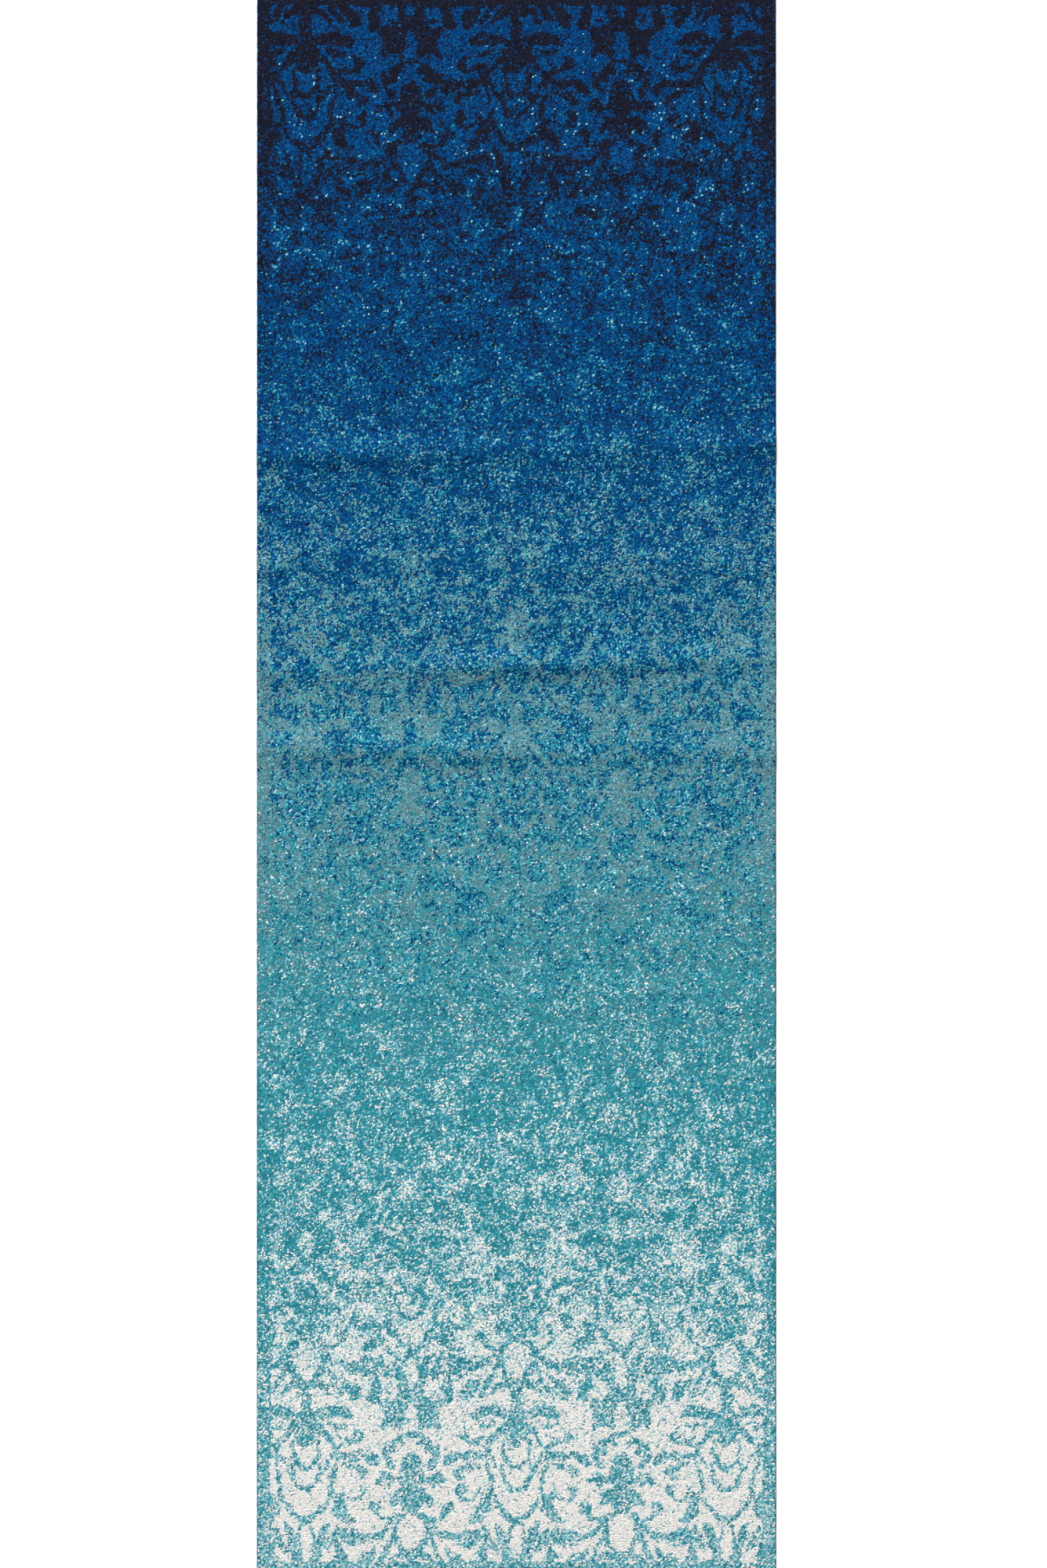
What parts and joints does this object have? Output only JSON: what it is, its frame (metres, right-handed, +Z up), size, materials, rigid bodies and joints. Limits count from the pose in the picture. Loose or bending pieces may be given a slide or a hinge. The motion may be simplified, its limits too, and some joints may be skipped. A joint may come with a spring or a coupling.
{
  "type": "runner rug",
  "caption": "Long narrow pile rug with a damask in shades from near-black blue to cream, on a woven jute ground with serged sides and taped ends, lying flat.",
  "frame": {"origin": "on the floor, under the middle of the rug", "axes": "+X across the rug to the right seen with the dark end up, +Y along it towards the dark end, +Z up out of the pile"},
  "size_m": [0.806, 2.438, 0.009],
  "materials": {
    "pile": "cut synthetic pile, matte with a slight sheen",
    "jute": "jute weft under a thin clear size",
    "warp": "polyester and cotton warp yarn",
    "back_coat": "thin latex size, matte",
    "serging": "wrapped synthetic yarn",
    "tape_dark": "herringbone twill tape",
    "tape_light": "herringbone twill tape",
    "thread": "polyester sewing thread",
    "label": "blank satin ribbon"
  },
  "bodies": {
    "root": {"pile": "pile", "weft_upper": "jute", "weft_lower": "jute", "stuffer_warps": "warp", "binding_warps": "warp", "back_coat": "back_coat", "selvedge_cord_left": "warp", "selvedge_cord_right": "warp", "serging_left": "serging", "serging_right": "serging", "tape_dark_end": "tape_dark", "tape_light_end": "tape_light", "tape_stitches_dark_end": "thread", "tape_stitches_light_end": "thread", "care_label": "label", "label_stitches": "thread"}
  },
  "joints": []
}
